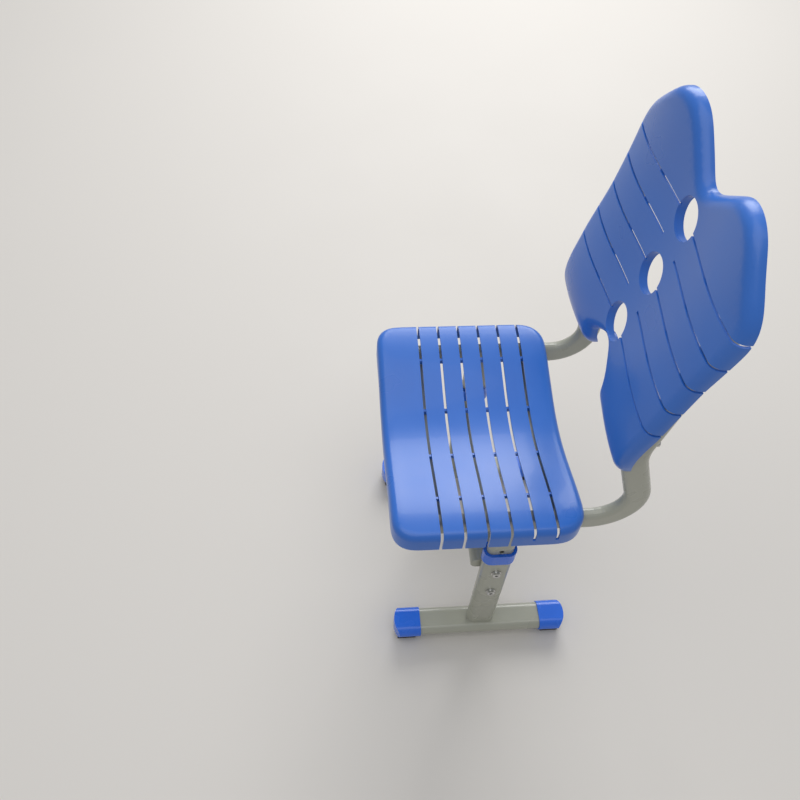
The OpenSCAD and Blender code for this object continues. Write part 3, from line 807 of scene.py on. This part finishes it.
@dataclass
class MouldedBack(PillowShell):
    """The backrest: two wings with level slots on a middle strip with three holes.

    Attributes:
        half: Half the backrest's width.
        low: Height of its lower end.
        high: Height of its upper end.
        waist_y: Front of the middle strip at its foremost point, from the columns' middle.
        shift: From the columns' middle to the frame's origin.
        wing: How far the wings come forward of the middle strip.
        crest: Distance from the middle to where the wings are foremost.
        fall: How gently the wings fall back beyond that.
        depth: Depth of the skirt.
        hole_r: Radius of a hole.
        top_slot: From the upper end down to the first slot.
        slot_count: How many slots there are on each side.
        pitch: From slot to slot.
        slot_w: Width of a slot.
        slot_inner: Distance from the middle to the slots' inner ends.
        rail_x: Distance from the middle to an upright.
        upright: A point on an upright's middle line from the columns' middle, its height and the lean.
        rail_reach: Half the upright's tube from front to rear.
        screw_z: Heights of the screws.
        sink: How far a boss runs into the skin.
        rib_x: Distance from the middle to a rib.
        rib_low: From the lower end to the ribs' lower ends.
        rib_high: From the upper end to the ribs' upper ends.
        collar: Thickness, sink into the skin and depth of the collar round a hole.
        collar_sides: How many sides a collar has.
        spine: Points of the middle strip, each a share of the height and the distance behind waist_y.
    """

    node: str = "backrest"
    name: str = "moulded_backrest"
    half: float = 0.212
    low: float = 0.538
    high: float = 0.966
    waist_y: float = 0.1255
    shift: float = -0.01507
    wing: float = 0.010
    crest: float = 0.150
    fall: float = 0.7
    depth: float = 0.0198
    roll: float = 0.015
    hole_r: float = 0.029
    top_slot: float = 0.106
    slot_count: int = 5
    pitch: float = 0.047
    slot_w: float = 0.004
    slot_inner: float = 0.026
    rail_x: float = 0.168
    upright: tuple[float, float, float] = (0.1531, 0.6075, 9.6)
    rail_reach: float = 0.020
    screw_z: tuple[float, float] = (0.612, 0.740)
    sink: float = 0.001
    rib_x: float = 0.100
    rib_low: float = 0.03
    rib_high: float = 0.06
    collar: tuple[float, float, float] = (0.0035, 0.001, 0.010)
    collar_sides: int = 72
    spine: tuple = ((0, 0.020), (0.125, 0), (0.306, 0.013), (0.525, 0.036), (0.743, 0.054), (1, 0.0635))

    def spine_y(self, v: float) -> float:
        """Front of the middle strip at a height, on one smooth curve through the spine's points.

        Args:
            v: The height.

        Returns:
            Its place along Y.
        """
        t = (v - self.low) / (self.high - self.low)
        p = self.spine
        i = max(k for k in range(len(p) - 1) if k == 0 or t > p[k][0])

        def slope(k: int) -> float:
            """Slope of the curve at point k."""
            a, b = max(k - 1, 0), min(k + 1, len(p) - 1)
            return (p[b][1] - p[a][1]) / (p[b][0] - p[a][0])

        h = p[i + 1][0] - p[i][0]
        q = (t - p[i][0]) / h
        start = (2 * q**3 - 3 * q**2 + 1) * p[i][1] + (q**3 - 2 * q**2 + q) * h * slope(i)
        end = (3 * q**2 - 2 * q**3) * p[i + 1][1] + (q**3 - q**2) * h * slope(i + 1)
        return self.waist_y + self.shift + start + end

    def lean(self, v: float) -> float:
        """Lean of the middle strip from upright, in radians."""
        return math.atan((self.spine_y(v + 0.005) - self.spine_y(v - 0.005)) / 0.01)

    def height(self, u: float, v: float, back: float) -> Vector:
        """A point behind the winged front surface."""
        a = abs(u)
        rise = -self.wing * (0.5 - 0.5 * math.cos(math.pi * min(a, self.crest) / self.crest))
        drop = max(a - self.crest, 0.0) ** 2 / self.fall
        return Vector((u, self.spine_y(v) + rise + drop + back, v))

    def skirt(self, u: float, v: float) -> float:
        """The same depth all round."""
        return self.depth

    def levels(self) -> list[float]:
        """Heights of the slots; the holes lie level with every second one."""
        return [self.high - self.top_slot - self.pitch * i for i in range(self.slot_count)]

    def hole_levels(self) -> list[float]:
        """Heights of the holes."""
        return self.levels()[::2]

    def square_on(self, v: float) -> Matrix:
        """The turn that lays +Z square to the middle strip at a height, towards its back."""
        return Matrix.Rotation(-self.lean(v), 3, "X") @ Matrix.Rotation(math.radians(-90), 3, "X")

    def holes(self) -> list[tuple[Vector, tuple[float, float]]]:
        """Three holes down the middle strip, round when seen square on to its lean."""
        return [(Vector((0, z)), (self.hole_r, self.hole_r * math.cos(self.lean(z))))
                for z in self.hole_levels()]

    def slots(self) -> list[SlotCut]:
        """Slots from beside the middle strip out through the rim."""
        return [SlotCut(z, self.slot_w, self.slot_inner) for z in self.levels()]

    def outline(self) -> list[Vector]:
        """Butterfly outline: two lobes above, two below, a notch between each pair."""
        half, low, high = self.half, self.low, self.high
        right = [
            Vector((0.008, low + 0.098)),
            *arc(half - 0.117, low + 0.046, 0.046, 155, 265, 8),
            *arc(half - 0.074, low + 0.056, 0.056, 272, 350, 8),
            Vector((half - 0.012, low + 0.131)),
            Vector((half - 0.011, low + 0.224)),
            *arc(half - 0.070, high - 0.108, 0.070, -8, 46, 7),
            *arc(half - 0.104, high - 0.066, 0.066, 52, 135, 9),
            Vector((0.008, high - 0.062)),
        ]
        return right + [Vector((-p.x, p.y)) for p in reversed(right)]

    def build(self, paint: Paint) -> None:
        """Makes the backrest, its hole collars, ribs and bosses.

        Args:
            paint: The finishes.
        """
        obj = self.skin()
        self.thicken(obj)
        self.finish(obj, paint)
        ribs = bmesh.new()
        for side in (-1, 1):
            self.add_rib(ribs, side * self.rib_x, (self.low + self.rib_low, self.high - self.rib_high))
        for z in self.hole_levels():
            self._ring_wall(ribs, z)
        for side in (-1, 1):
            for z in self.screw_z:
                self._boss(ribs, side * self.rail_x, z)
        self.declare_ribs(ribs, paint)

    def _boss(self, bm: bmesh.types.BMesh, x: float, z: float) -> None:
        """Adds one screw boss, square to the upright and from just off it to the skin.

        Args:
            bm: The mesh that takes the boss.
            x: The screw's place across.
            z: The screw's height.
        """
        foot_y, foot_z, lean_deg = self.upright
        lean = math.radians(lean_deg)
        ahead = Vector((0, -math.cos(lean), math.sin(lean)))
        middle = Vector((x, foot_y + self.shift + (z - foot_z) * math.tan(lean), z))
        start = middle + ahead * (self.rail_reach + self.boss_gap)
        length = (start.y - self.height(x, start.z, self.wall).y) / math.cos(lean) + self.sink
        if length > self.sink:
            turn = Matrix.Rotation(math.pi / 2 - lean, 3, "X")
            merge(bm, cylinder(self.boss_r, length, turn, start, self.boss_sides))

    def _ring_wall(self, bm: bmesh.types.BMesh, z: float) -> None:
        """Adds the collar of wall behind one hole.

        Args:
            bm: The mesh that takes the collar.
            z: The hole's height.
        """
        part = bmesh.new()
        thick, sink, length = self.collar
        inner, outer, start = self.hole_r, self.hole_r + thick, self.wall - sink
        profile = [part.verts.new(co) for co in ((inner, 0, start), (outer, 0, start),
                                                  (outer, 0, start + length), (inner, 0, start + length))]
        edges = [part.edges.new((profile[i], profile[(i + 1) % 4])) for i in range(4)]
        bmesh.ops.spin(part, geom=[*profile, *edges], cent=(0, 0, 0), axis=(0, 0, 1), dvec=(0, 0, 0),
                       angle=math.tau, steps=self.collar_sides, use_merge=True)
        bmesh.ops.recalc_face_normals(part, faces=part.faces)
        matrix = Matrix.Translation((0, self.spine_y(z), z)) @ self.square_on(z).to_4x4()
        bmesh.ops.transform(part, matrix=matrix, verts=part.verts)
        merge(bm, part)


@dataclass
class Viewpoint:
    """The camera, held at standing eye height to the sitter's left of the chair.

    Attributes:
        place: Where the camera is, in metres.
        heading_deg: Turn from looking along -X, towards +Y if negative.
        pitch_deg: How far it looks down.
        roll_deg: How far it is rolled.
        view_deg: Width of its view.
    """

    place: tuple[float, float, float] = (0.7917, -0.2937, 1.561)
    heading_deg: float = -8.5
    pitch_deg: float = 52.96
    roll_deg: float = 5.03
    view_deg: float = 50.0

    def build(self) -> bpy.types.Object:
        """Makes the scene's camera.

        Returns:
            The camera object.
        """
        yaw, pitch, roll = (math.radians(a) for a in (self.heading_deg, self.pitch_deg, self.roll_deg))
        level = Vector((-math.cos(yaw), -math.sin(yaw), 0))
        side = Vector((-math.sin(yaw), math.cos(yaw), 0))
        ahead = level * math.cos(pitch) - Vector((0, 0, math.sin(pitch)))
        above = level * math.sin(pitch) + Vector((0, 0, math.cos(pitch)))
        right = side * math.cos(roll) + above * math.sin(roll)
        up = above * math.cos(roll) - side * math.sin(roll)
        data = bpy.data.cameras.new("viewpoint")
        data.sensor_fit = "HORIZONTAL"
        data.angle = math.radians(self.view_deg)
        camera = bpy.data.objects.new("viewpoint", data)
        turn = Matrix((right, up, -ahead)).transposed().to_4x4()
        camera.matrix_world = Matrix.Translation(self.place) @ turn
        bpy.context.scene.collection.objects.link(camera)
        bpy.context.scene.camera = camera
        return camera


@dataclass
class Lamp:
    """One soft area lamp that faces the chair.

    Attributes:
        name: The lamp's name.
        place: Where it hangs, in metres.
        power: Its power in watts.
        size: Its width in metres.
    """

    name: str
    place: tuple[float, float, float]
    power: float
    size: float

    def build(self, target: Vector) -> None:
        """Hangs the lamp.

        Args:
            target: The point that it faces.
        """
        data = bpy.data.lights.new(self.name, "AREA")
        data.energy = self.power
        data.size = self.size
        lamp = bpy.data.objects.new(self.name, data)
        lamp.location = self.place
        lamp.rotation_euler = (target - Vector(self.place)).to_track_quat("-Z", "Y").to_euler()
        bpy.context.scene.collection.objects.link(lamp)


@dataclass
class Studio:
    """A plain pale floor and soft light, strongest from beyond the chair.

    Attributes:
        floor_half: Half the floor's width in metres.
        floor_colour: sRGB colour of the floor.
        world_strength: Strength of the light from all round.
        lamps: The area lamps.
    """

    floor_half: float = 8.0
    floor_colour: str = "DAD6D0"
    world_strength: float = 0.42
    lamps: list[Lamp] = field(default_factory=lambda: [
        Lamp("window", (-3.2, 0.6, 2.6), 95.0, 2.4),
        Lamp("ceiling", (0.4, -0.4, 3.4), 38.0, 3.0),
    ])

    def build(self) -> None:
        """Lays the floor and hangs the lights."""
        self._floor()
        world = bpy.data.worlds.new("room")
        world.use_nodes = True
        world.node_tree.nodes["Background"].inputs["Color"].default_value = linear("F4F6FA")
        world.node_tree.nodes["Background"].inputs["Strength"].default_value = self.world_strength
        bpy.context.scene.world = world
        for lamp in self.lamps:
            lamp.build(Vector((0, 0, 0.5)))
        bpy.context.scene.view_settings.view_transform = "Standard"

    def _floor(self) -> None:
        """Makes the floor, with a faint unevenness in its roughness."""
        bm = bmesh.new()
        bmesh.ops.create_grid(bm, x_segments=1, y_segments=1, size=self.floor_half)
        mesh = bpy.data.meshes.new("floor")
        bm.to_mesh(mesh)
        bm.free()
        floor = bpy.data.objects.new("floor", mesh)
        bpy.context.scene.collection.objects.link(floor)
        finish = Finish("matt_floor", self.floor_colour, self.floor_colour, (0.6, 0.7), patch_mm=400)
        floor.data.materials.append(finish.build())


def main() -> None:
    """Builds the chair's looks in order."""
    logging.basicConfig(level=logging.INFO, format="%(name)s: %(message)s")
    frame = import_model()
    Viewpoint().build()
    Studio().build()
    paint = Paint()
    Construction(frame).dress(paint)
    MouldedSeat().build(paint)
    MouldedBack().build(paint)


if __name__ == "__main__":
    main()
